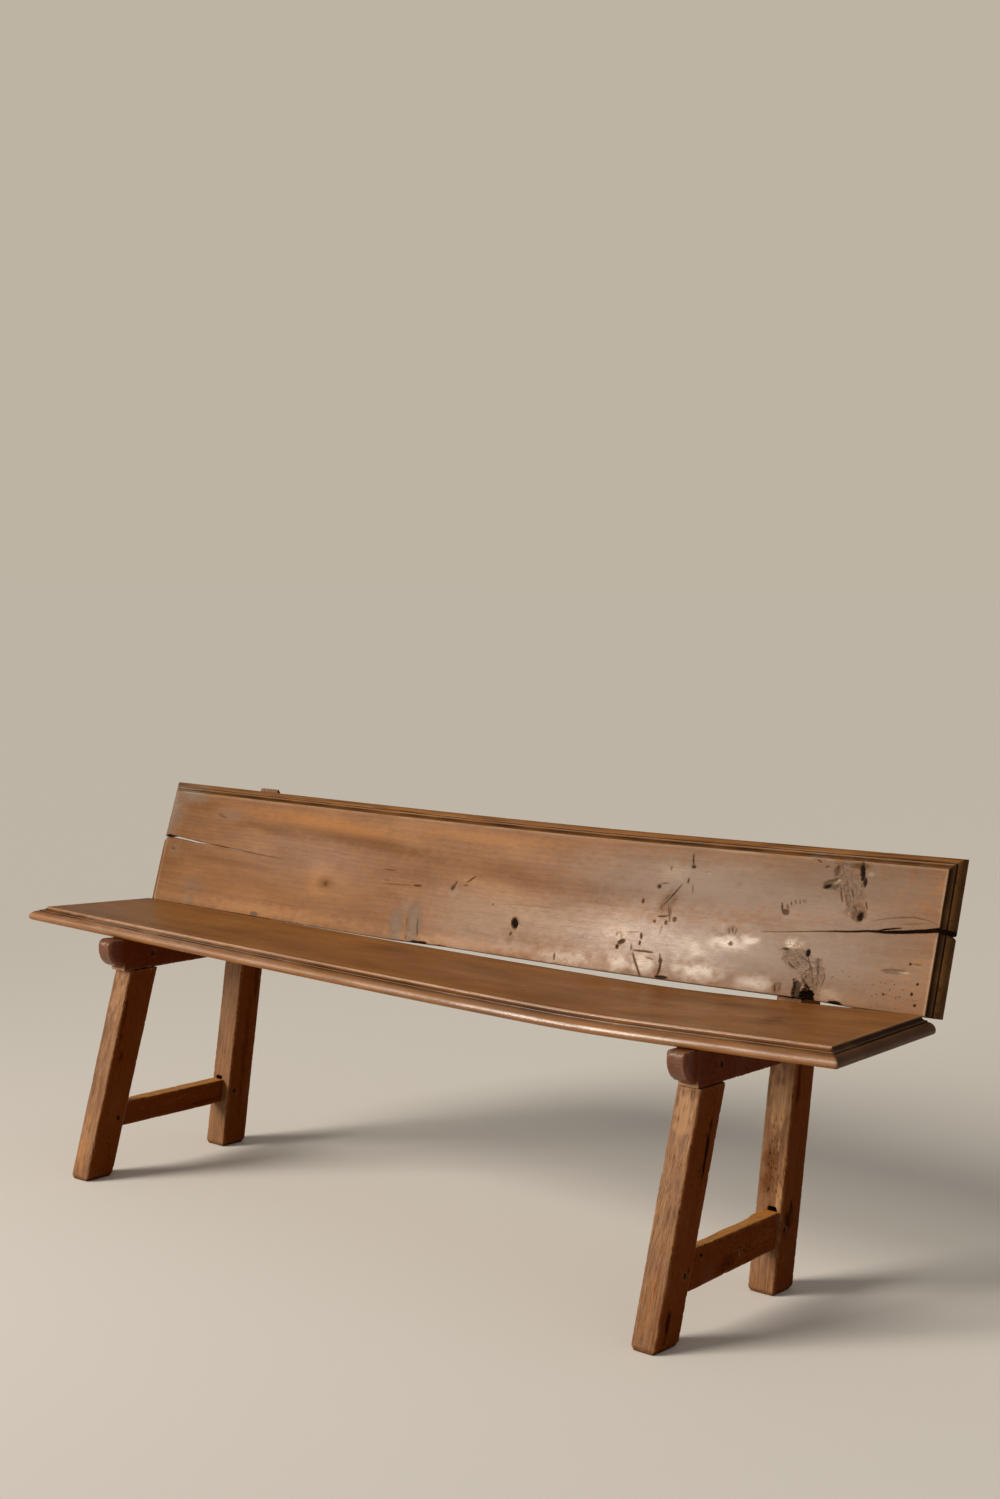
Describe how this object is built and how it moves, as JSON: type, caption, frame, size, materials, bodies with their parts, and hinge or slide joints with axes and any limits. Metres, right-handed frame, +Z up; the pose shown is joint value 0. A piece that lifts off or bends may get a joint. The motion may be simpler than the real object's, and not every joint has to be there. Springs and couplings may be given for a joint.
{
  "type": "country bench with back",
  "caption": "Long rustic bench with a sagging moulded plank seat, a leaning moulded plank back and trestle ends with splayed legs, bearers and low stretchers.",
  "frame": {"origin": "middle of the footprint on the floor: centre of the bounding box in X and Y, at its bottom", "axes": "+X along the bench towards its right end as seen from the front, +Y from the front towards the back, +Z up"},
  "size_m": [1.785, 0.4792, 0.6955],
  "materials": {
    "seat_wood": "old waxed walnut, smooth and polished by use",
    "back_wood": "old waxed walnut with knots, checks and a glossy worn surface",
    "bearer_wood": "dark reddish brown old wood, waxed",
    "leg_wood": "dry open-grained old wood, worn pale on the front faces",
    "stretcher_wood": "brown old wood, rubbed paler on top",
    "peg_wood": "dark end grain"
  },
  "bodies": {
    "root": {"seat_plank": "seat_wood", "back_plank": "back_wood", "left_bearer": "bearer_wood", "right_bearer": "bearer_wood", "left_front_leg": "leg_wood", "right_front_leg": "leg_wood", "left_rear_post": "leg_wood", "right_rear_post": "leg_wood", "left_stretcher": "stretcher_wood", "right_stretcher": "stretcher_wood", "left_front_leg_peg": "peg_wood", "right_front_leg_peg": "peg_wood", "left_rear_post_peg": "peg_wood", "right_rear_post_peg": "peg_wood", "left_stretcher_front_peg": "peg_wood", "right_stretcher_front_peg": "peg_wood", "left_stretcher_rear_peg": "peg_wood", "right_stretcher_rear_peg": "peg_wood", "left_seat_dowel_front": "peg_wood", "right_seat_dowel_front": "peg_wood", "left_seat_dowel_rear": "peg_wood", "right_seat_dowel_rear": "peg_wood", "left_back_pin_lower": "peg_wood", "right_back_pin_lower": "peg_wood", "left_back_pin_upper": "peg_wood", "right_back_pin_upper": "peg_wood"}
  },
  "joints": []
}
